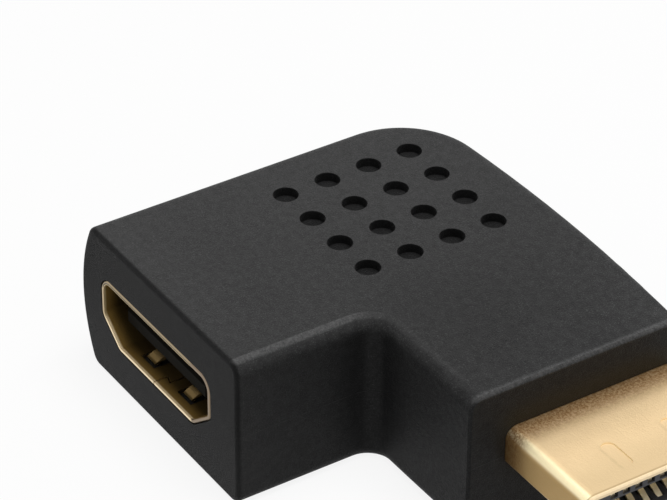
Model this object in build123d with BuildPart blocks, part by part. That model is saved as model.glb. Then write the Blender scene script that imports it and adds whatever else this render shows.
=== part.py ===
from build123d import *
from math import asin, cos, degrees, sin
import os

os.makedirs("parts", exist_ok=True)

# A right angle adapter for a 19-pin digital video link: a plug and a matching port, turned
# 90 degrees to each other in one flat L of black overmoulded plastic. Millimetres, +Z up.
# The origin is the centre of the plug's root on the moulding's end face. The plug points
# along +X and the port faces -Y. The wide side of both connectors is on top.

# Moulding
body_height = 11.8
port_behind_face = 21.8     # plug end face to the port's centre line, along X
port_rear_run = 9.2         # rear of the port's insulator to the plug's centre line, along Y
port_cheek_outer = 3.25     # plastic beside the port, at the crest of the outer side
port_cheek_inner = 3.85     # plastic beside the port, on the crook's side
plug_cheek_outer = 2.15     # plastic beside the plug, at the outer side's widest place
plug_cheek_inner = 3.0      # plastic beside the plug, on the crook's side
side_crown = 1.5            # how far the outer sides swell past their top and bottom edges
elbow_radius = 7.5          # outer corner of the L, at the crest
bow_radius = 140.0          # the plug arm's outer side is a shallow arc
bow_apex = 14.5             # plug end face back to the widest place of that arc
arm_fall = 0.25             # how far the plug arm's top and bottom fall to its end face
fall_length = 9.2           # length of that fall
crook_radius = 1.6          # inner corner of the L
long_edge_radius = 1.0      # top and bottom edges along the arms
plug_end_edge = 0.2         # chamfer round the plug arm's end face
port_end_radius = 0.4       # rounding round the port arm's end face
wall = 1.2                  # moulding outside the inner mould, seen from above
cover = 2.3                 # moulding above and below the inner mould

# Finger dimples in the top
dimple_diameter = 1.85
dimple_depth = 0.7
dimple_pitch = 3.5
dimple_rows = 4
dimples_beside_port = 0.6   # port centre line to the middle of the pattern, along X
dimples_below_plug = 2.15   # plug centre line to the middle of the pattern, along Y

# Connector outline, as the outside of the plug's shell. Its width follows from the contacts.
plug_height = 4.45
slant_width = 2.1           # each slanted lower corner, seen from the front
plug_side_height = 2.75     # straight part of each side
plug_top_radius = 0.85
plug_floor_radius = 0.5
plug_reach = 8.9            # how far the plug stands out of the moulding

# Sheet metal shells
sheet = 0.3
mating_clearance = 0.05     # plug's shell to the inside of a port's shell
moulding_clearance = 0.05   # shell to the moulding that it comes out of
lip_edge = 0.1              # chamfer round the front of each shell
shell_seat = 6.0            # length of the plug's shell inside the moulding
seam_width = 0.08
seam_offset = 0.25
dovetail_start = 1.1
dovetail_length = 1.5
dovetail_depth = 0.7
dovetail_flare = 0.2

# Springs of the port's shell and the dents that they find in a plug
spring_offset = 2.45
spring_width = 1.1
spring_gap = 0.35
spring_front = 0.8          # mouth to the front of the spring's window
spring_length = 5.2
spring_rise = 0.4           # crest of the spring's bump above the wall
spring_lead = 1.0           # front of the window to the bump
spring_bend = 0.8
spring_thickness = 0.25
dent_length = 2.8
dent_width = 1.1
dent_depth = 0.08
dent_front = 1.45           # front of the plug's shell to the dent

# Contacts
contact_count = 19
contact_pitch = 0.5         # between neighbours of the two rows, seen from above
contact_width = 0.45
contact_thickness = 0.2
channel_clearance = 0.02    # contact to the plastic that holds it

# Tongue of the port and the slot of the plug that takes it
tongue_thickness = 1.2
tongue_margin = 0.625       # tongue beside the outermost contacts
tongue_setback = 0.9        # mouth to the tongue's front
tongue_play = 0.1           # tongue to the sides of a plug's slot
tongue_edge = 0.15
bottoming_gap = 0.3
contact_setback = 0.6       # tongue's front to the contacts' front ends
slot_height = 1.9
slot_cheek = 1.17           # plug's insulator beside the slot
slot_lead = 0.12
nose_setback = 0.3          # front of the plug's shell to its insulator
groove_depth = 0.7
groove_width = 0.6
nose_thickness = 0.6        # plastic in front of the grooves
nose_bar = 0.25             # bar of the nose that each contact's tip rests on
insulator_clearance = 0.03  # insulator to its shell

# Spring beams of the plug's contacts
beam_level = 1.2
beam_bump_level = 0.62
beam_bump_back = 1.9        # front of the insulator to the bump
beam_tip_back = 0.2         # front of the insulator to the tip
beam_radius = 0.35
beam_bend_gap = 0.2         # straight run behind the insulator
beam_rest_gap = 0.1         # bend behind the nose to the bar

# Rear ends
insulator_tail = 0.5        # plug's insulator behind its shell
port_block = 2.6            # port's insulator behind the tongue
port_block_tail = 0.5

# Circuit board between the two rows of tails
board_thickness = 1.0
board_gap = 0.8             # insulator to the board's edge
tail_overlap = 2.0
board_port_spare = 0.25     # board beyond the connector's width, at the port
board_plug_inset = 0.55     # board inside the connector's width, at the plug
board_corner_radius = 4.5
board_edge_radius = 0.5
pocket_clearance = 0.1

# Places that follow from the sizes above
half_height = body_height / 2
row_half_width = (contact_count - 1) / 2 * contact_pitch + contact_width / 2
tongue_width = 2 * (row_half_width + tongue_margin)
plug_half_width = tongue_width / 2 + tongue_play + slot_cheek + insulator_clearance + sheet
port_side_outer = plug_half_width + port_cheek_outer
port_side_inner = plug_half_width + port_cheek_inner
plug_side_outer = plug_half_width + plug_cheek_outer
plug_side_inner = plug_half_width + plug_cheek_inner
port_depth = plug_reach + bottoming_gap
port_mouth_below = port_rear_run + port_block + port_depth
outer_x = -port_behind_face - port_side_outer
crook_x = -port_behind_face + port_side_inner
mouth_y = -port_mouth_below
crook_y = -plug_side_inner
slot_depth = plug_reach - nose_setback - tongue_setback + bottoming_gap
nose_x = plug_reach - nose_setback
slot_floor_x = nose_x - slot_depth
plug_rear_x = -shell_seat - insulator_tail
plug_board_x = plug_rear_x - board_gap
port_rear_y = mouth_y + port_depth + port_block
port_board_y = port_rear_y + board_gap
port_shell_length = port_depth + port_block - port_block_tail
port_grow = mating_clearance + sheet
contact_level = board_thickness / 2 + contact_thickness / 2
elbow_x = outer_x + elbow_radius
bow_y = plug_side_outer - bow_radius
elbow_turn = asin((-bow_apex - elbow_x) / (bow_radius - elbow_radius))
elbow_y = bow_y + (bow_radius - elbow_radius) * cos(elbow_turn)


def plug_plane(x):
    """A plane across the plug, seen from its front: local X along +Y, local Y up."""
    return Plane(origin=(x, 0, 0), x_dir=(0, 1, 0), z_dir=(1, 0, 0))


def port_plane(depth):
    """A plane across the port, seen into its mouth: local X along +X, local Y up."""
    return Plane(origin=(-port_behind_face, mouth_y + depth, 0), x_dir=(1, 0, 0), z_dir=(0, -1, 0))


def along_plug(offset):
    """A plane along the plug at an offset to the side: local X along +X, local Y up."""
    return Plane(origin=(0, offset, 0), x_dir=(1, 0, 0), z_dir=(0, -1, 0))


def along_port(offset):
    """A plane along the port at an offset to the side: local X is depth, local Y up."""
    return Plane(origin=(-port_behind_face + offset, mouth_y, 0), x_dir=(0, 1, 0), z_dir=(1, 0, 0))


def connector_outline(grow):
    """The connector's outline: flat top, straight sides and slanted lower corners."""
    top = plug_height / 2
    shoulder = top - plug_side_height
    with BuildSketch() as outline:
        with BuildLine():
            Polyline(
                (-plug_half_width, top),
                (plug_half_width, top),
                (plug_half_width, shoulder),
                (plug_half_width - slant_width, -top),
                (slant_width - plug_half_width, -top),
                (-plug_half_width, shoulder),
                close=True,
            )
        make_face()
        fillet(outline.vertices().group_by(Axis.Y)[-1], plug_top_radius)
        fillet(outline.vertices().group_by(Axis.Y)[:2], plug_floor_radius)
        if grow:
            offset(amount=grow)
    return outline.sketch


def swing_from_apex(x):
    """Angle at the bow's centre from its widest place to a place along X."""
    return degrees(asin((x + bow_apex) / bow_radius))


def body_outline(inset, spare=0):
    """The L seen from above, at the crest of its sides. Spare makes both arms longer."""
    end_y = mouth_y - spare
    with BuildSketch() as outline:
        with BuildLine():
            side = Line((outer_x, end_y), (outer_x, elbow_y))
            elbow = JernArc(side @ 1, side % 1, elbow_radius, degrees(elbow_turn) - 90)
            swing = degrees(elbow_turn) + swing_from_apex(spare)
            bow = JernArc(elbow @ 1, elbow % 1, bow_radius, -swing)
            Polyline(
                bow @ 1,
                (spare, crook_y),
                (crook_x, crook_y),
                (crook_x, end_y),
                (outer_x, end_y),
            )
        make_face()
        fillet(outline.vertices().sort_by_distance((crook_x, crook_y))[0], crook_radius)
        if inset:
            offset(amount=-inset, kind=Kind.INTERSECTION)
    return outline.sketch


def crown_section(plane):
    """What the crown and its rounded edges leave off a side: local X points outwards."""
    back = -2 * (side_crown + long_edge_radius)
    with BuildSketch() as kept:
        with BuildLine():
            crown = ThreePointArc((-side_crown, -half_height), (0, 0), (-side_crown, half_height))
            Polyline(crown @ 1, (back, half_height), (back, -half_height), crown @ 0)
        make_face()
        fillet(kept.vertices().sort_by(Axis.X)[-2:], long_edge_radius)
    with BuildSketch(plane) as section:
        with Locations((back / 2, 0)):
            Rectangle(wall - back / 2, body_height, align=(Align.MIN, Align.CENTER))
        add(kept.sketch, mode=Mode.SUBTRACT)
    return section.sketch


def is_long_edge(edge):
    """Top and bottom edges on the crook's side, neither at the ends nor where the fall starts."""
    middle = edge.center()
    is_level = abs(middle.Z) > half_height - 2 * arm_fall
    is_between_ends = middle.X < 0 and mouth_y < middle.Y < crook_y + wall
    is_fall_start = abs(middle.X + fall_length) < lip_edge / 2
    return is_level and is_between_ends and not is_fall_start


def seam_line():
    """The joint of a folded shell, with its dovetail: local X is depth, local Y across."""
    end = dovetail_start + dovetail_length
    with BuildSketch() as seam:
        with BuildLine():
            Polyline(
                (-sheet, seam_offset),
                (dovetail_start, seam_offset),
                (dovetail_start - dovetail_flare, seam_offset - dovetail_depth),
                (end + dovetail_flare, seam_offset - dovetail_depth),
                (end, seam_offset),
                (end + shell_seat + port_shell_length, seam_offset),
            )
        trace(line_width=seam_width)
    return seam.sketch


# Moulding: an L whose outer sides are crowned, with two tunnels and the inner mould's room
with BuildPart() as housing:
    spare = 2.0
    with BuildSketch():
        add(body_outline(0, spare))
    extrude(amount=half_height, both=True)
    # Crowned outer sides: straight, round the elbow and along the bow
    side_plane = Plane(origin=(outer_x, mouth_y - spare, 0), x_dir=(-1, 0, 0), z_dir=(0, 1, 0))
    extrude(crown_section(side_plane), amount=elbow_y - mouth_y + spare, mode=Mode.SUBTRACT)
    elbow_plane = Plane(origin=(outer_x, elbow_y, 0), x_dir=(-1, 0, 0), z_dir=(0, 1, 0))
    elbow_axis = Axis((elbow_x, elbow_y, 0), (0, 0, -1))
    elbow_sweep = 90 - degrees(elbow_turn)
    revolve(crown_section(elbow_plane), axis=elbow_axis, revolution_arc=elbow_sweep, mode=Mode.SUBTRACT)
    bow_axis = Axis((-bow_apex, bow_y, 0), (0, 0, -1))
    bow_plane = Plane(
        origin=(elbow_x - elbow_radius * sin(elbow_turn), elbow_y + elbow_radius * cos(elbow_turn), 0),
        x_dir=(-sin(elbow_turn), cos(elbow_turn), 0),
        z_dir=(cos(elbow_turn), sin(elbow_turn), 0),
    )
    bow_sweep = degrees(elbow_turn) + swing_from_apex(spare)
    revolve(crown_section(bow_plane), axis=bow_axis, revolution_arc=bow_sweep, mode=Mode.SUBTRACT)
    # Fall of the plug arm's top and bottom
    for level in (-1, 1):
        with BuildSketch(along_plug(0)):
            with BuildLine():
                start = (-fall_length, level * half_height)
                fall_at_spare = arm_fall * (1 + spare / fall_length) ** 2
                fall = TangentArc(start, (spare, level * (half_height - fall_at_spare)), tangent=(1, 0))
                beyond = level * (half_height + wall)
                Polyline(fall @ 1, (spare, beyond), (-fall_length, beyond), start)
            make_face()
        extrude(amount=port_mouth_below, both=True, mode=Mode.SUBTRACT)
    fillet(housing.edges().filter_by(is_long_edge), long_edge_radius)
    # Both arms cut to length
    split(bisect_by=Plane((0, 0, 0), z_dir=(1, 0, 0)), keep=Keep.BOTTOM)
    split(bisect_by=Plane((0, mouth_y, 0), z_dir=(0, -1, 0)), keep=Keep.BOTTOM)
    chamfer(housing.faces().sort_by(Axis.X)[-1].edges(), plug_end_edge)
    fillet(housing.faces().sort_by(Axis.Y)[0].edges(), port_end_radius)
    # Dimples
    with Locations((-port_behind_face + dimples_beside_port, -dimples_below_plug, half_height)):
        with GridLocations(dimple_pitch, dimple_pitch, dimple_rows, dimple_rows):
            Hole(dimple_diameter / 2, depth=dimple_depth)
    # Room for the inner mould
    with BuildSketch():
        add(body_outline(wall))
    extrude(amount=half_height - cover, both=True, mode=Mode.SUBTRACT)
    # Tunnels of the shells
    with BuildSketch(plug_plane(-wall)):
        add(connector_outline(moulding_clearance))
    extrude(amount=wall, mode=Mode.SUBTRACT)
    with BuildSketch(port_plane(wall)):
        add(connector_outline(port_grow + moulding_clearance))
    extrude(amount=wall, mode=Mode.SUBTRACT)

# Inner mould: the first shot, over the board, the tails and the rear of both connectors
with BuildPart() as inner_mould:
    with BuildSketch():
        add(body_outline(wall))
    extrude(amount=half_height - cover, both=True)
    with BuildSketch(plug_plane(-shell_seat)):
        add(connector_outline(moulding_clearance))
    extrude(amount=shell_seat, mode=Mode.SUBTRACT)
    with BuildSketch(plug_plane(plug_rear_x)):
        add(connector_outline(-sheet))
    extrude(amount=insulator_tail, mode=Mode.SUBTRACT)
    with BuildSketch(port_plane(port_shell_length)):
        add(connector_outline(port_grow + moulding_clearance))
    extrude(amount=port_shell_length, mode=Mode.SUBTRACT)
    with BuildSketch(port_plane(port_depth + port_block)):
        add(connector_outline(mating_clearance))
    extrude(amount=port_block_tail, mode=Mode.SUBTRACT)


def board_outline():
    """The board: wide behind the port, narrower where it enters the plug."""
    left = -port_behind_face - plug_half_width - board_port_spare
    right = -port_behind_face + plug_half_width + board_port_spare
    side = plug_half_width - board_plug_inset
    with BuildSketch() as outline:
        with BuildLine():
            Polyline(
                (left, port_board_y),
                (right, port_board_y),
                (right, -side),
                (plug_board_x, -side),
                (plug_board_x, side),
                (left, side),
                close=True,
            )
        make_face()
        fillet(outline.vertices().sort_by_distance((left, side))[0], board_corner_radius)
        fillet(outline.vertices().sort_by_distance((right, -side))[0], board_edge_radius)
    return outline.sketch


with BuildPart() as circuit_board:
    with BuildSketch(Plane.XY.offset(-board_thickness / 2)):
        add(board_outline())
    extrude(amount=board_thickness)

# The inner mould's rooms for the board and for the two groups of tails
tail_room = beam_level + contact_thickness / 2 + pocket_clearance
with BuildPart(mode=Mode.PRIVATE) as rooms:
    add(circuit_board.part)
    with Locations((plug_rear_x, 0, 0)):
        Box(board_gap + tail_overlap + pocket_clearance, 2 * (row_half_width + pocket_clearance),
            2 * tail_room, align=(Align.MAX, Align.CENTER, Align.CENTER))
    with Locations((-port_behind_face, port_rear_y, 0)):
        Box(2 * (row_half_width + pocket_clearance), board_gap + tail_overlap + pocket_clearance,
            2 * tail_room, align=(Align.CENTER, Align.MIN, Align.CENTER))
with inner_mould:
    add(rooms.part, mode=Mode.SUBTRACT)

# Plug's shell: folded sheet with a dovetailed seam below and dents for a port's springs
with BuildPart() as plug_shell:
    with BuildSketch(plug_plane(-shell_seat)):
        add(connector_outline(0))
    extrude(amount=shell_seat + plug_reach)
    chamfer(plug_shell.faces().sort_by(Axis.X)[-1].edges(), lip_edge)
    with BuildSketch(plug_plane(-shell_seat)):
        add(connector_outline(-sheet))
    extrude(amount=shell_seat + plug_reach, mode=Mode.SUBTRACT)
    for level in (-1, 1):
        with BuildSketch(Plane.XY.offset(level * plug_height / 2)):
            with Locations((plug_reach - dent_front - dent_length / 2, 0)):
                with GridLocations(1, 2 * spring_offset, 1, 2):
                    SlotOverall(dent_length, dent_width)
        extrude(amount=dent_depth, both=True, mode=Mode.SUBTRACT)
    seam_plane = Plane(
        origin=(plug_reach, 0, -plug_height / 2 - sheet), x_dir=(-1, 0, 0), z_dir=(0, 0, 1)
    )
    with BuildSketch(seam_plane):
        add(seam_line())
    extrude(amount=3 * sheet, mode=Mode.SUBTRACT)

# Port's shell: the same outline one sheet larger, with springs above and below
with BuildPart() as socket_shell:
    with BuildSketch(port_plane(port_shell_length)):
        add(connector_outline(port_grow))
    extrude(amount=port_shell_length)
    chamfer(socket_shell.faces().sort_by(Axis.Y)[0].edges(), lip_edge)
    with BuildSketch(port_plane(port_shell_length)):
        add(connector_outline(mating_clearance))
    extrude(amount=port_shell_length, mode=Mode.SUBTRACT)
    inside = plug_height / 2 + mating_clearance
    for side in (-1, 1):
        with Locations((-port_behind_face + side * spring_offset, mouth_y + spring_front, 0)):
            Box(spring_width + 2 * spring_gap, spring_length, 4 * inside,
                align=(Align.CENTER, Align.MIN, Align.CENTER), mode=Mode.SUBTRACT)
        for level in (-1, 1):
            with BuildSketch(along_port(side * spring_offset)):
                with BuildLine():
                    FilletPolyline(
                        (spring_front + spring_gap, level * (inside + sheet / 4)),
                        (spring_front + spring_lead, level * (inside - spring_rise + spring_thickness / 2)),
                        (spring_front + spring_length + sheet, level * (inside + sheet / 2)),
                        radius=spring_bend,
                    )
                trace(line_width=spring_thickness)
            extrude(amount=spring_width / 2, both=True)
    seam_plane = Plane(
        origin=(-port_behind_face, mouth_y, -inside - 2 * sheet), x_dir=(0, 1, 0), z_dir=(0, 0, 1)
    )
    with BuildSketch(seam_plane):
        add(seam_line())
    extrude(amount=3 * sheet, mode=Mode.SUBTRACT)


def row_offsets(level):
    """Sideways places of one row's contacts: the upper row has one more than the lower."""
    first = 0 if level > 0 else 1
    middle = (contact_count - 1) / 2
    return [(index - middle) * contact_pitch for index in range(first, contact_count, 2)]


# Plug's insulator: a block with a slot for the tongue, and a groove for each contact
with BuildPart() as plug_insulator:
    with BuildSketch(plug_plane(plug_rear_x)):
        add(connector_outline(-sheet - insulator_clearance))
    extrude(amount=nose_x - plug_rear_x)
    with Locations((nose_x, 0, 0)):
        Box(slot_depth, tongue_width + 2 * tongue_play, slot_height,
            align=(Align.MAX, Align.CENTER, Align.CENTER), mode=Mode.SUBTRACT)
    chamfer(plug_insulator.faces().sort_by(Axis.X)[-1].inner_wires()[0].edges(), slot_lead)
    for level in (-1, 1):
        outward = Align.MIN if level > 0 else Align.MAX
        groove_floor = level * slot_height / 2
        bar_top = level * (slot_height / 2 + nose_bar)
        with Locations(*[(slot_floor_x, offset, groove_floor) for offset in row_offsets(level)]):
            Box(slot_depth - nose_thickness, groove_width, groove_depth,
                align=(Align.MIN, Align.CENTER, outward), mode=Mode.SUBTRACT)
        with Locations(*[(nose_x, offset, bar_top) for offset in row_offsets(level)]):
            Box(nose_thickness, groove_width, groove_depth - nose_bar,
                align=(Align.MAX, Align.CENTER, outward), mode=Mode.SUBTRACT)
        with Locations(*[(slot_floor_x, offset, level * beam_level) for offset in row_offsets(level)]):
            Box(slot_floor_x - plug_rear_x, contact_width + 2 * channel_clearance,
                contact_thickness + 2 * channel_clearance,
                align=(Align.MAX, Align.CENTER, Align.CENTER), mode=Mode.SUBTRACT)

# Port's insulator: a block at the back of the shell, with the tongue standing out of it
with BuildPart() as socket_tongue:
    with BuildSketch(port_plane(port_depth + port_block)):
        add(connector_outline(mating_clearance - insulator_clearance))
    extrude(amount=port_block)
    with Locations((-port_behind_face, mouth_y + tongue_setback, 0)):
        Box(tongue_width, port_depth - tongue_setback, tongue_thickness,
            align=(Align.CENTER, Align.MIN, Align.CENTER))
    chamfer(socket_tongue.faces().sort_by(Axis.Y)[0].edges(), tongue_edge)
    for level in (-1, 1):
        outward = Align.MIN if level > 0 else Align.MAX
        front = (mouth_y + tongue_setback + contact_setback, level * board_thickness / 2)
        with Locations(*[(-port_behind_face + offset, *front) for offset in row_offsets(level)]):
            Box(contact_width + 2 * channel_clearance, port_rear_y - front[0],
                contact_thickness + channel_clearance,
                align=(Align.CENTER, Align.MIN, outward), mode=Mode.SUBTRACT)

# Contacts, numbered across both rows: odd ones above, even ones below
plug_contacts = []
socket_contacts = []
for index in range(contact_count):
    level = 1 if index % 2 == 0 else -1
    offset_across = (index - (contact_count - 1) / 2) * contact_pitch
    tip_level = slot_height / 2 + nose_bar + contact_thickness / 2
    with BuildPart() as plug_contact:
        bump = (nose_x - beam_bump_back, level * beam_bump_level)
        with BuildSketch(along_plug(offset_across)) as strip:
            with BuildLine():
                Polyline(
                    (plug_board_x - tail_overlap, level * contact_level),
                    (plug_board_x, level * contact_level),
                    (plug_rear_x - beam_bend_gap, level * beam_level),
                    (slot_floor_x, level * beam_level),
                    bump,
                    (nose_x - nose_thickness - beam_rest_gap, level * tip_level),
                    (nose_x - beam_tip_back, level * tip_level),
                )
            trace(line_width=contact_thickness)
            fillet(strip.vertices().sort_by_distance(bump)[:2], beam_radius)
        extrude(amount=contact_width / 2, both=True)
    plug_contacts.append(plug_contact)
    with BuildPart() as socket_contact:
        start = (
            -port_behind_face + offset_across,
            mouth_y + tongue_setback + contact_setback,
            level * contact_level,
        )
        with Locations(start):
            Box(contact_width, port_board_y + tail_overlap - start[1], contact_thickness,
                align=(Align.CENTER, Align.MIN, Align.CENTER))
    socket_contacts.append(socket_contact)

# One file for each piece
pieces = {
    "housing": housing,
    "inner_mould": inner_mould,
    "circuit_board": circuit_board,
    "plug_shell": plug_shell,
    "plug_insulator": plug_insulator,
    "socket_shell": socket_shell,
    "socket_tongue": socket_tongue,
}
for index in range(contact_count):
    pieces[f"plug_contact_{index + 1:02d}"] = plug_contacts[index]
    pieces[f"socket_contact_{index + 1:02d}"] = socket_contacts[index]
for name, piece in pieces.items():
    piece.part.label = name
    export_step(piece.part, f"parts/{name}.step")
    print(name, [round(size, 2) for size in piece.part.bounding_box().size], round(piece.part.volume, 3))
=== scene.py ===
# %% [markdown]
# # Dressing a right angle video adapter
#
# The adapter is a flat L of black overmoulded plastic with a gold-plated plug on one arm and the
# matching port on the other. Every solid of it is already exact, so this lesson is about finishes:
# a grained satin moulding, folded and plated sheet, dark insulators and bright contacts. Each is
# built from shader nodes alone, at the scale that the real one shows.

# %% Load the packed model
import math

import bmesh
import bpy
from mathutils import Matrix, Vector


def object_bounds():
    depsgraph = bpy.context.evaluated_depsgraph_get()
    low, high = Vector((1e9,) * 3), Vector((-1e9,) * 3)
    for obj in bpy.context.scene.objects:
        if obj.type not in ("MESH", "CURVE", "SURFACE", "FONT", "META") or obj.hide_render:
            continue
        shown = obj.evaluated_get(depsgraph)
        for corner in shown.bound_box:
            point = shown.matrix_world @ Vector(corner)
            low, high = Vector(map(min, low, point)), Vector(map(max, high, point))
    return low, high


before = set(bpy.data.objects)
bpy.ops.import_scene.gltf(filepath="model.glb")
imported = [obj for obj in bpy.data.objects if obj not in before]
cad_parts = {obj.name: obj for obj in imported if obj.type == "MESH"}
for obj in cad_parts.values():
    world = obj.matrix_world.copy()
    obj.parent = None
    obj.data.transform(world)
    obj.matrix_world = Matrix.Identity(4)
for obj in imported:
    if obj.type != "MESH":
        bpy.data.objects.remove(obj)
cad_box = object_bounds()
box_mm = [round(value * 1000, 2) for value in (*cad_box[0], *cad_box[1])]
print("pieces:", len(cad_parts), "box in mm:", box_mm)

# %% [markdown]
# ## The camera
#
# A camera is a place, a direction and a lens. The direction is given here by its turn and its
# tilt, with a slight roll, and the three axes that follow are the columns of its matrix. The long
# lens flattens the perspective, as in the photograph of a small thing from far away.

# %% The camera's axes
camera_turn, camera_tilt, camera_roll = (math.radians(angle) for angle in (56.747, 35.023, 0.446))


def camera_axes(turn, tilt, roll):
    """Right, up and back of a camera that looks towards the object."""
    level_right = Vector((math.cos(turn), math.sin(turn), 0))
    level_part = math.cos(tilt)
    back = Vector((math.sin(turn) * level_part, -math.cos(turn) * level_part, math.sin(tilt)))
    level_up = back.cross(level_right)
    right = level_right * math.cos(roll) + level_up * math.sin(roll)
    up = level_up * math.cos(roll) - level_right * math.sin(roll)
    return right, up, back


right, up, back = camera_axes(camera_turn, camera_tilt, camera_roll)
print("camera looks along", [round(value, 3) for value in -back])

# %% [markdown]
# The lens was found in pixels, from the known width of the plug. A camera in Blender wants
# millimetres on a sensor of a given width, so it is converted by the width of the picture.

# %% Camera
photo_width = 667
lens_pixels = 3415.934
port_mouth = Vector((-0.0218, -0.021, 0))
aside, above, distance = 0.012278, 0.007373, 0.234727
eye = port_mouth + right * aside + up * above + back * distance

camera_data = bpy.data.cameras.new("camera")
camera_data.sensor_width = 36
camera_data.lens = lens_pixels * camera_data.sensor_width / photo_width
camera_data.clip_start = 0.01
camera = bpy.data.objects.new("camera", camera_data)
turned = Matrix((right, up, back)).transposed().to_4x4()
camera.matrix_world = Matrix.Translation(eye) @ turned
bpy.context.scene.collection.objects.link(camera)
bpy.context.scene.camera = camera
print("camera at", [round(v * 1000, 1) for v in eye], "mm, lens", round(camera_data.lens, 1), "mm")

# %% [markdown]
# ## Writing a shader as a sum
#
# Shader maths is easier to read as an expression than as a drawing of nodes. The class below wraps
# the output of a node, and its operators add a Math node each.

# %% Values


class Value:
    """A node's output that can stand in an expression."""

    def __init__(self, finish, socket):
        self.finish = finish
        self.socket = socket

    def math(self, operation, *others):
        inputs = dict(enumerate((self, *others)))
        return self.finish.node("ShaderNodeMath", {"operation": operation}, inputs)

    def __add__(self, other):
        return self.math("ADD", other)

    def __sub__(self, other):
        return self.math("SUBTRACT", other)

    def __mul__(self, other):
        return self.math("MULTIPLY", other)

    def __truediv__(self, other):
        return self.math("DIVIDE", other)

    def __rsub__(self, other):
        return self.finish.node("ShaderNodeMath", {"operation": "SUBTRACT"}, {0: other, 1: self})

    __radd__ = __add__
    __rmul__ = __mul__

    def absolute(self):
        return self.math("ABSOLUTE")

    def over_zero(self):
        """The value where it is above 0, and 0 elsewhere."""
        return self.math("MAXIMUM", 0)

    def ease(self, start, end):
        """0 before start, 1 after end and smooth between; start may be the larger."""
        settings = {"interpolation_type": "SMOOTHSTEP"}
        limits = {"Value": self, "From Min": start, "From Max": end}
        return self.finish.node("ShaderNodeMapRange", settings, limits)


def distance_over(across, along):
    """How far a point lies from another, from its two offsets."""
    return (across * across + along * along).math("SQRT")


print("a value's own methods:", [name for name in vars(Value) if not name.startswith("__")])

# %% [markdown]
# Every other kind of node comes from one method of the finish, which takes the node's settings and
# what goes into its sockets. Object coordinates are in metres, so a Mapping node turns them into
# millimetres, and every size in a finish can then be read off a ruler.

# %% Finishes


class Finish:
    """One material and the nodes that make it."""

    def __init__(self, name):
        self.material = bpy.data.materials.new(name)
        self.material.use_nodes = True
        self.tree = self.material.node_tree
        self.tree.nodes.clear()
        coordinates = self.node("ShaderNodeTexCoord", output="Object")
        in_millimetres = {"Vector": coordinates, "Scale": (1000, 1000, 1000)}
        self.place = self.node("ShaderNodeMapping", inputs=in_millimetres)

    def node(self, kind, settings=None, inputs=None, output=0):
        """Any node: its settings first, then a value or a link for each socket named."""
        node = self.tree.nodes.new(kind)
        for name, value in (settings or {}).items():
            setattr(node, name, value)
        for name, value in (inputs or {}).items():
            if isinstance(value, Value):
                self.tree.links.new(value.socket, node.inputs[name])
            else:
                node.inputs[name].default_value = value
        return Value(self, node.outputs[output]) if node.outputs else None

    def axes(self):
        """X, Y and Z of the point being shaded, in millimetres."""
        split = self.node("ShaderNodeSeparateXYZ", inputs={0: self.place})
        outputs = split.socket.node.outputs
        return [Value(self, outputs[axis]) for axis in range(3)]

    def noise(self, per_mm, detail=2.0, roughness=0.5, place=None):
        sockets = {"Scale": per_mm, "Detail": detail, "Roughness": roughness}
        sockets["Vector"] = place or self.place
        return self.node("ShaderNodeTexNoise", inputs=sockets)

    def mix(self, factor, first, second):
        """Two colours mixed by a value."""
        inputs = {0: factor, 6: first, 7: second}
        return self.node("ShaderNodeMix", {"data_type": "RGBA"}, inputs, output=2)

    def layers(self, colour, *laid_on):
        """Colours laid over one another in turn, each where its mask is 1."""
        for mask, layer in laid_on:
            colour = self.mix(mask, colour, layer)
        return colour

    def bump(self, height, depth_mm):
        inputs = {"Strength": 1.0, "Distance": depth_mm / 1000, "Height": height}
        return self.node("ShaderNodeBump", inputs=inputs)

    def surface(self, **sockets):
        """The Principled shader, with its sockets named by words joined with underscores."""
        named = {name.replace("_", " "): value for name, value in sockets.items()}
        shader = self.node("ShaderNodeBsdfPrincipled", inputs=named)
        self.node("ShaderNodeOutputMaterial", inputs={"Surface": shader})
        return self.material


print("a finish's own methods:", [name for name in vars(Finish) if not name.startswith("__")])

# %% [markdown]
# A finish is worth nothing until a piece wears it. The nodes carry plain names, so one start of a
# name, such as plug_contact, is enough to dress a whole row of pieces.

# %% Dressing


def rgb(red, green, blue):
    return (red, green, blue, 1)


def dress(material, *names):
    """Give a finish to the nodes whose names start with one of these."""
    dressed = [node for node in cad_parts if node.startswith(names)]
    for name in dressed:
        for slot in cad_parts[name].material_slots:
            slot.material = material
    print(material.name, "on", len(dressed), "pieces")


print("nodes to dress:", len(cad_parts))

# %% [markdown]
# ## The black moulding
#
# The moulding is satin, with a fine, even grain that breaks up every highlight. Noises of several
# sizes stand for it: the grain at about a tenth of a millimetre, a mottle at half a millimetre, a
# slow cloud over a whole face and a few pale specks. The two halves of the mould meet at
# mid-height, which leaves a hair-thin ridge round the sides.

# %% The moulding's noises
noise_middle = (0.35, 0.65)
ridge_reach = 0.05

moulding = Finish("grained_moulding")
x, y, z = moulding.axes()
grain = moulding.noise(per_mm=8.0, detail=3.0, roughness=0.75)
mottle = moulding.noise(per_mm=1.7, detail=3.0, roughness=0.6)
cloud = moulding.noise(per_mm=0.12)
specks = moulding.noise(per_mm=13.0, detail=0.0).ease(0.64, 0.76)
# this noise breaks up the painted edge highlights
highlight_breakup = moulding.noise(per_mm=5.0, detail=4.0, roughness=0.8).ease(*noise_middle)
ridge = z.absolute().ease(ridge_reach, 0.0)
print("parting ridge at mid-height,", 2 * ridge_reach, "mm wide")

# %% [markdown]
# The shade is worked out as one number, 0 for the darkest black and 1 for a mid grey. The noises
# each move it a little, and two slow slopes along the arms add painted light, paler towards the
# elbow and towards the port's end.

# %% Shade of the moulding
plain_shade = 0.135
cloud_gain, grain_loss, mottle_gain, speck_gain = 0.065, 0.055, 0.05, 0.18
# painted light: the moulding's shade rises towards the elbow and towards the port's end
painted_light_to_elbow = x.ease(-3.0, -34.0) * 0.07
painted_light_to_port = y.ease(-15.0, -21.0) * 0.03

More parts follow.
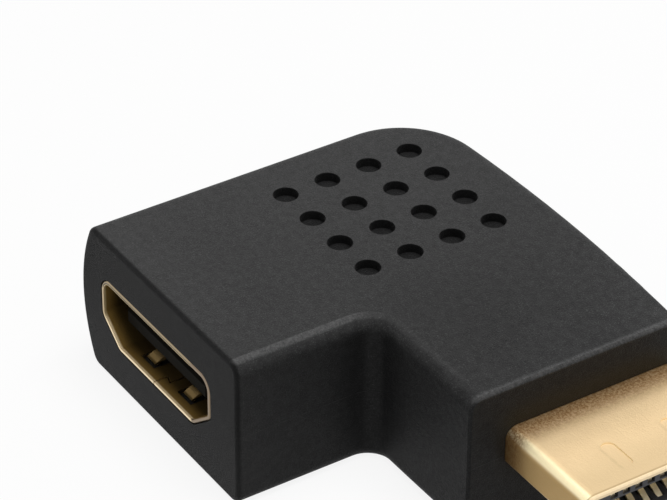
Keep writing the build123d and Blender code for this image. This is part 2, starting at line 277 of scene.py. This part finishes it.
shade = plain_shade + cloud * cloud_gain - grain.ease(*noise_middle) * grain_loss
shade = shade + mottle.ease(*noise_middle) * mottle_gain + specks * speck_gain
shade = shade + painted_light_to_elbow + painted_light_to_port
print("shade starts at", plain_shade)

# %% [markdown]
# Some edges get a painted highlight, which makes them paler. Each is a mask, made where two places
# meet: the end of the plug's arm with its long edges, and the rim of the crook, which is a distance
# from the centre of its round corner. On the port's arm the rim's painted highlight is stronger.

# %% Painted edge highlights
half_height = 5.9
crook_x, crook_y, crook_radius = -11.0, -9.95, 1.6

sunk = half_height - z.absolute()
below_top = half_height - z
# painted highlights: on the plug arm's end edges and along the rim of the crook
plug_end_highlight = x.ease(-0.6, -0.2) * sunk.ease(0.65, 0.35)
across_crook = (crook_x + crook_radius - x).over_zero()
along_crook = (y - (crook_y - crook_radius)).over_zero()
from_crook = distance_over(across_crook, along_crook) - crook_radius
crook_rim_highlight = from_crook.ease(1.08, 0.95) * sunk.ease(0.22, 0.08)
port_arm = y.ease(-9.0, -12.0)
# the painted edge highlights are added to the shade
shade = shade + plug_end_highlight * (0.14 + highlight_breakup * 0.26)
shade = shade + crook_rim_highlight * (0.03 + highlight_breakup * 0.07) * (1 + port_arm * 3)
print("rubbed: the plug arm's end and the rim of a crook of radius", crook_radius, "mm")

# %% [markdown]
# The dimples get painted shade inside, as recesses do. They lie in one square grid, so a single
# square mask finds all sixteen, as long as it starts just below the top.

# %% Dimples
grid_x, grid_y = -21.2, -2.15
grid_side = (6.4, 6.3)

in_grid = (x - grid_x).absolute().ease(*grid_side) * (y - grid_y).absolute().ease(*grid_side)
# painted shade inside the dimples
shaded_dimples = in_grid * below_top.ease(0.02, 0.1) * below_top.ease(0.9, 0.8)
print("dimples round", (grid_x, grid_y))

# %% [markdown]
# The rest are soft, broad places of painted shade and painted light: painted shade on the port's
# end face, in the deep corner of the crook, on its walls, on the plug's end face and in a patch on
# top beside the crook, and painted light on the far corner of the top. These follow what the
# photograph shows, and they belong to the surface, so they turn with the part.

# %% Painted shade and painted light
mouth_y = -21.0
patch_x, patch_y = -8.5, -5.5

# painted shade on the port's end face, darker towards its top and its outer side
port_shade_strength = 0.4 + z.ease(-5.0, 2.0) * 0.3 + x.ease(-28.0, -31.5) * 0.1
port_face_shade = y.ease(mouth_y + 0.35, mouth_y + 0.15) * port_shade_strength
from_corner = distance_over(x - crook_x, y - crook_y)
on_walls = sunk.ease(0.4, 1.4)
deep_corner_shade = from_corner.ease(4.5, 1.5) * from_corner.ease(0.7, 1.2) * on_walls
crook_wall_shade = from_corner.ease(11.0, 5.0) * on_walls
# the plug arm's end face, which gets painted shade and a painted reflection of the gold
plug_face = x.ease(-0.15, -0.03)
crook_shade_patch = distance_over(x - patch_x, y - patch_y).ease(8.5, 2.0) * below_top.ease(0.4, 0.1)
far_corner_light = x.ease(-14.0, 0.0) * y.ease(1.5, 7.0) * below_top.ease(0.6, 0.3)
# painted shade: each place darkens the moulding by its share
painted_shades = (
    (shaded_dimples, 0.6),
    (port_face_shade, 1.0),
    (deep_corner_shade, 0.5),
    (plug_face, 0.28),
    (crook_wall_shade, 0.15),
    (crook_shade_patch, 0.15),
)
for place, loss in painted_shades:
    shade = shade * (1 - place * loss)
# painted light on the top's far corner
shade = shade * (1 + far_corner_light * 0.3)
print("places that darken the shade:", len(painted_shades))

# %% [markdown]
# The shade then picks a colour between nearly black and grey. Above the gold, the plug arm's end
# has a painted reflection of the gold, a warm brown. A low specular and a little sheen give the
# flat, dry look of grained plastic.

# %% The moulding's colour and surface
darkest, palest = rgb(0.0, 0.0, 0.0002), rgb(0.19, 0.19, 0.19)
reflected_gold_brown = rgb(0.050, 0.040, 0.018)

# painted reflection of the gold on the plug arm's end face, just above the plug
beside_gold = z.ease(4.6, 2.5) * z.ease(-3.0, 2.0) * y.absolute().ease(8.5, 6.0)
painted_gold_reflection = plug_face * beside_gold * 0.45
black = moulding.mix(painted_gold_reflection, moulding.mix(shade, darkest, palest), reflected_gold_brown)
moulding.surface(
    Base_Color=black,
    Roughness=0.42 + grain * 0.2,
    Specular_IOR_Level=0.07,
    Sheen_Weight=0.06,
    Sheen_Roughness=0.25,
    Normal=moulding.bump(grain + mottle * 0.4 + ridge * 0.3, depth_mm=0.075),
)
dress(moulding.material, "housing", "inner_mould")

# %% [markdown]
# ## Gold plating on folded sheet
#
# Both shells are rolled sheet, polished and flash plated. Rolling leaves fine streaks along the
# sheet, and plating has a slightly cloudy, satin look. Gold is a metal, so its colour is the colour
# of its reflection: a high Metallic and a warm base are enough, and roughness does the rest.

# %% Plating


class Plating(Finish):
    """Rolled and plated sheet, satin or bright."""

    def sheet(self, shade, deep):
        """The plating's own colour, slightly cloudy."""
        return self.mix(self.noise(per_mm=0.5), rgb(*shade), rgb(*deep))

    def finish(self, gold, roughness):
        along_sheet = {"Vector": self.place, "Scale": (0.6, 6.0, 6.0)}
        streaks = self.node("ShaderNodeMapping", inputs=along_sheet)
        rolled = self.noise(per_mm=1.6, detail=4.0, place=streaks)
        grain = self.noise(per_mm=6.0, detail=4.0, roughness=0.7)
        return self.surface(
            Base_Color=gold,
            Metallic=1.0,
            Roughness=roughness + rolled * 0.06 + grain * 0.08,
            Normal=self.bump(grain + rolled * 0.3, depth_mm=0.02),
        )


shell_half_width, shell_top, shell_bend = 6.95, 2.225, 0.85
print("shell:", 2 * shell_half_width, "by", 2 * shell_top, "mm, bent at", shell_bend, "mm")

# %% [markdown]
# The plug's shell is a satin gold that is deeper towards its front, with painted shade on its
# sides. The bends carry a painted highlight, and at the root, next to the moulding, the plating is
# tarnished in brown specks over painted shade. All of that is read off the photograph.

# %% Plug's shell: its broad parts
plug_plating = Plating("plug_plating")
x, y, z = plug_plating.axes()
off_middle = y.absolute()
speckle = plug_plating.noise(per_mm=5.0, detail=4.0, roughness=0.8).ease(*noise_middle)
along_bend = (off_middle - (shell_half_width - shell_bend)) / shell_bend

plug_front_half = x.ease(4.0, 8.0) * 0.8
# painted shade on the shell's sides
plug_side_shade = off_middle.ease(6.8, 6.95) * 0.85
# painted highlight along the bends
plug_bend_highlight = along_bend.ease(0.2, 0.5) * along_bend.ease(0.97, 0.82) * z.ease(1.2, 1.5)
# brown tarnish specks over painted shade next to the moulding
root_tarnish_and_shade = x.ease(2.7, 0.5) * (0.5 + speckle * 0.6)
gold = plug_plating.layers(
    plug_plating.sheet((0.77, 0.595, 0.36), (0.69, 0.52, 0.31)),
    (plug_front_half, rgb(0.57, 0.435, 0.255)),
    (plug_side_shade, rgb(0.42, 0.28, 0.11)),
    (plug_bend_highlight, rgb(1.0, 0.88, 0.58)),
    (root_tarnish_and_shade, rgb(0.28, 0.155, 0.06)),
)
print("plug's shell: tarnished over the first 2.7 mm")

# %% [markdown]
# A port's springs snap into the dents, and their walls are painted light. In the photograph each
# dent shows as a faint dark streak, and the real cause isn't known, so the streak is only painted.
# The front edge is chamfered, with painted shade for a thin crease behind it and a painted
# highlight on the lip.

# %% Plug's shell: dents, streaks and lip
dent_offset = 2.45
streak_shift = 0.55

level = z.absolute()
# painted light on the dents' walls, paler than the plating
dent_wall_light = level.ease(2.224, 2.21) * level.ease(2.15, 2.165) * off_middle.ease(5.0, 4.5)
off_track = ((y + streak_shift).absolute() - dent_offset).absolute()
streaks = off_track.ease(0.25, 0.0) * x.ease(4.4, 5.4) * x.ease(7.9, 7.0) * z.ease(2.0, 2.1)
# painted shade for a thin crease behind the front edge, and a painted highlight on the lip
crease_shade = x.ease(8.52, 8.6) * x.ease(8.72, 8.66) * 0.6
lip_highlight = x.ease(8.68, 8.74)
gold = plug_plating.layers(
    gold,
    (dent_wall_light, rgb(1.0, 0.9, 0.66)),
    (streaks * (0.1 + speckle * 0.25), rgb(0.36, 0.27, 0.15)),
    (crease_shade, rgb(0.34, 0.24, 0.12)),
    (lip_highlight, rgb(0.77, 0.63, 0.42)),
)
dress(plug_plating.finish(gold, roughness=0.48), "plug_shell")

# %% [markdown]
# The port's shell is seen from its mouth, so its finish depends on how far a point lies outside
# the outline of the connector: on the lip, on the wall inside, or on a spring that reaches in. The
# outline is a box with rounded upper corners and slanted lower ones, and the distance from it is
# the largest of the distances from its parts.

# %% Outline of the connectors
slant_across, slant_down = 0.629, 0.777
slant_top = -0.525


def outside_outline(across, up):
    """How far a point lies outside the outline of the connectors, in millimetres."""
    past_corner = (across - (shell_half_width - shell_bend)).over_zero()
    above_corner = (up - (shell_top - shell_bend)).over_zero()
    rounded = distance_over(past_corner, above_corner) - shell_bend
    slanted = (across - shell_half_width) * slant_across - (up - slant_top) * slant_down
    return rounded.math("MAXIMUM", slanted).math("MAXIMUM", -shell_top - up)


slant = math.degrees(math.atan2(slant_across, slant_down))
print("lower sides rise", round(slant, 1), "degrees from level")

# %% [markdown]
# Light hardly reaches into the port, and its shading is painted. The wall is ochre at the mouth
# and falls to a painted dark brown shade, the lower lip has a painted highlight and the upper one
# is dull with painted shade, darkest at its inner edge. The lip's far ends and the springs get
# painted shade too.

# %% Port's shell
port_x = -21.8

port_plating = Plating("port_plating")
x, y, z = port_plating.axes()
off_port = x - port_x
out = outside_outline(off_port.absolute(), z)
mouth = y.ease(mouth_y + 0.25, mouth_y + 0.1)
inside = out.ease(0.11, 0.07)
# painted shade on the upper lip and its inner edge, a painted highlight on the lower lip, and
# painted shade on the lip's far ends and on the springs
top_lip_shade = z.ease(1.5, 1.9)
low_lip_highlight = z.ease(-0.4, -1.2) * off_port.ease(4.9, 4.6) * mouth
far_lip_shade = off_port.ease(4.6, 4.9) * mouth
spring_shade = out.ease(-0.02, -0.1)
# painted shade: the wall darkens from ochre at the mouth to dark brown further in
depth_shade = y.ease(mouth_y + 0.2, mouth_y + 1.3)
painted_wall_shade = port_plating.mix(depth_shade, rgb(0.28, 0.175, 0.05), rgb(0.065, 0.043, 0.015))
painted_wall_shade = port_plating.mix(mouth, painted_wall_shade, rgb(0.70, 0.56, 0.33))
gold = port_plating.layers(
    port_plating.sheet((0.52, 0.41, 0.25), (0.46, 0.35, 0.205)),
    (top_lip_shade * 0.5, rgb(0.22, 0.17, 0.11)),
    (top_lip_shade * out.ease(0.22, 0.16), rgb(0.05, 0.035, 0.015)),
    (inside, painted_wall_shade),
    (low_lip_highlight, rgb(0.90, 0.735, 0.48)),
    (far_lip_shade, rgb(0.24, 0.18, 0.12)),
    (spring_shade, rgb(0.25, 0.175, 0.075)),
)
dress(port_plating.finish(gold, roughness=0.24 + inside * 0.3), "socket_shell")

# %% [markdown]
# The contacts are plated too, and look brighter than the shells. One finish serves the sprung
# beams of the plug and the flat strips of the port.

# %% Contacts
contact_plating = Plating("contact_plating")
gold = contact_plating.sheet((0.95, 0.82, 0.58), (0.90, 0.76, 0.50))
dress(contact_plating.finish(gold, roughness=0.25), "plug_contact", "socket_contact")

# %% [markdown]
# ## Insulators and the board
#
# The insulators are glass-filled plastic, which moulds a little streaky and dull. The plug's is a
# dark grey and the port's almost black.

# %% Insulators
grey_insulator = Finish("grey_insulator")
flow = grey_insulator.noise(per_mm=2.0, detail=4.0)
pores = grey_insulator.noise(per_mm=20.0, detail=1.0)
grey_insulator.surface(
    Base_Color=grey_insulator.mix(flow, rgb(0.045, 0.046, 0.054), rgb(0.070, 0.071, 0.082)),
    Roughness=0.42 + flow * 0.15,
    Normal=grey_insulator.bump(pores, depth_mm=0.004),
)
dress(grey_insulator.material, "plug_insulator")

black_insulator = Finish("black_insulator")
flow = black_insulator.noise(per_mm=2.0, detail=4.0)
black_insulator.surface(
    Base_Color=black_insulator.mix(flow, rgb(0.0034, 0.0030, 0.0018), rgb(0.0062, 0.0054, 0.0034)),
    Roughness=0.5 + flow * 0.15,
    Specular_IOR_Level=0.03,
    Normal=black_insulator.bump(flow, depth_mm=0.004),
)
dress(black_insulator.material, "socket_tongue")

# %% [markdown]
# The board is hidden for good, but it still gets its green solder mask over a woven glass core.
# Two sines multiplied make the weave.

# %% Board
weave_per_mm = 9.0

solder_mask = Finish("solder_mask")
x, y, _ = solder_mask.axes()
weave = (x * weave_per_mm).math("SINE") * (y * weave_per_mm).math("SINE")
thread = weave.ease(-1.0, 1.0)
solder_mask.surface(
    Base_Color=solder_mask.mix(thread, rgb(0.010, 0.085, 0.030), rgb(0.016, 0.110, 0.042)),
    Roughness=0.35 + thread * 0.1,
    Normal=solder_mask.bump(weave, depth_mm=0.006),
)
dress(solder_mask.material, "circuit_board")

# %% [markdown]
# ## The studio
#
# The photograph has a pure white ground, so the floor and the world are white wherever the camera
# or a reflection sees them, and stay plain surfaces for the light. A share of the floor's own
# shading is kept, which leaves the soft shadow under the part.

# %% Floor's finish


def seen_rays(tree):
    """1 for rays from the camera, a reflection or a clear material, and 0 for the light's own."""
    outputs = tree.node("ShaderNodeLightPath").socket.node.outputs
    seen = Value(tree, outputs["Is Camera Ray"])
    for name in ("Is Glossy Ray", "Is Transmission Ray"):
        seen = seen.math("MAXIMUM", Value(tree, outputs[name]))
    return seen


pure_white, table_grey = rgb(1, 1, 1), rgb(0.22, 0.22, 0.22)
kept_shading = 0.12

ground = Finish("studio_floor")
paper = ground.node("ShaderNodeBsdfDiffuse", inputs={"Color": pure_white})
white = ground.node("ShaderNodeEmission", inputs={"Color": pure_white, "Strength": 1.0})
lit = ground.node("ShaderNodeMixShader", inputs={0: 1 - kept_shading, 1: paper, 2: white})
table = ground.node("ShaderNodeBsdfDiffuse", inputs={"Color": table_grey})
shown = ground.node("ShaderNodeMixShader", inputs={0: seen_rays(ground), 1: table, 2: lit})
ground.node("ShaderNodeOutputMaterial", inputs={"Surface": shown})
print("floor keeps", kept_shading, "of its own shading")

# %% [markdown]
# The floor itself is one square, made with a bmesh operator and moved down to the part's underside.

# %% Floor
floor_half_side = 1.5

sheet = bmesh.new()
bmesh.ops.create_grid(sheet, x_segments=1, y_segments=1, size=floor_half_side)
bmesh.ops.translate(sheet, verts=sheet.verts, vec=(0, 0, cad_box[0].z))
floor_mesh = bpy.data.meshes.new("floor")
sheet.to_mesh(floor_mesh)
sheet.free()
floor_mesh.materials.append(ground.material)
floor = bpy.data.objects.new("floor", floor_mesh)
bpy.context.scene.collection.objects.link(floor)
print("floor at", round(cad_box[0].z * 1000, 2), "mm")

# %% [markdown]
# The world gives a dim, even light from all round, and shows itself white. Its tree takes the same
# nodes as a material, so it borrows the methods of a finish.

# %% World


class Sky(Finish):
    """The world's own tree, with the same methods as a finish."""

    def __init__(self, tree):
        self.tree = tree
        self.tree.nodes.clear()


dim_strength, bright_strength = 0.27, 1.0

world = bpy.data.worlds.new("studio")
bpy.context.scene.world = world
world.use_nodes = True
sky = Sky(world.node_tree)
dim = sky.node("ShaderNodeBackground", inputs={"Color": pure_white, "Strength": dim_strength})
bright = sky.node("ShaderNodeBackground", inputs={"Color": pure_white, "Strength": bright_strength})
sky_seen = sky.node("ShaderNodeMixShader", inputs={0: seen_rays(sky), 1: dim, 2: bright})
sky.node("ShaderNodeOutputWorld", inputs={"Surface": sky_seen})
print("world lights at", dim_strength, "and shows at", bright_strength)

# %% [markdown]
# Two soft lamps do the rest: a wide one above the part and a very weak one behind it. A small part
# under a large lamp has soft shadows, as on a product photograph. Standard is the plain view
# transform, so a colour renders about as it is written.

# %% Lamps


def softbox(name, place_mm, size_mm, watts):
    """A square lamp that faces the middle of the part."""
    light = bpy.data.lights.new(name, "AREA")
    light.shape = "SQUARE"
    light.size = size_mm / 1000
    light.energy = watts
    lamp = bpy.data.objects.new(name, light)
    middle = (cad_box[0] + cad_box[1]) / 2
    place = Vector(place_mm) / 1000
    facing = (place - middle).to_track_quat("Z", "Y").to_matrix().to_4x4()
    lamp.matrix_world = Matrix.Translation(place) @ facing
    bpy.context.scene.collection.objects.link(lamp)
    print(name, "lamp:", watts, "W,", size_mm, "mm wide")


softbox("key", place_mm=(20, 30, 380), size_mm=240, watts=1.02)
softbox("back", place_mm=(-260, 180, 190), size_mm=200, watts=0.04)
bpy.context.scene.view_settings.view_transform = "Standard"

# %% [markdown]
# ## Sizes
#
# The finishes must not change the part's size.
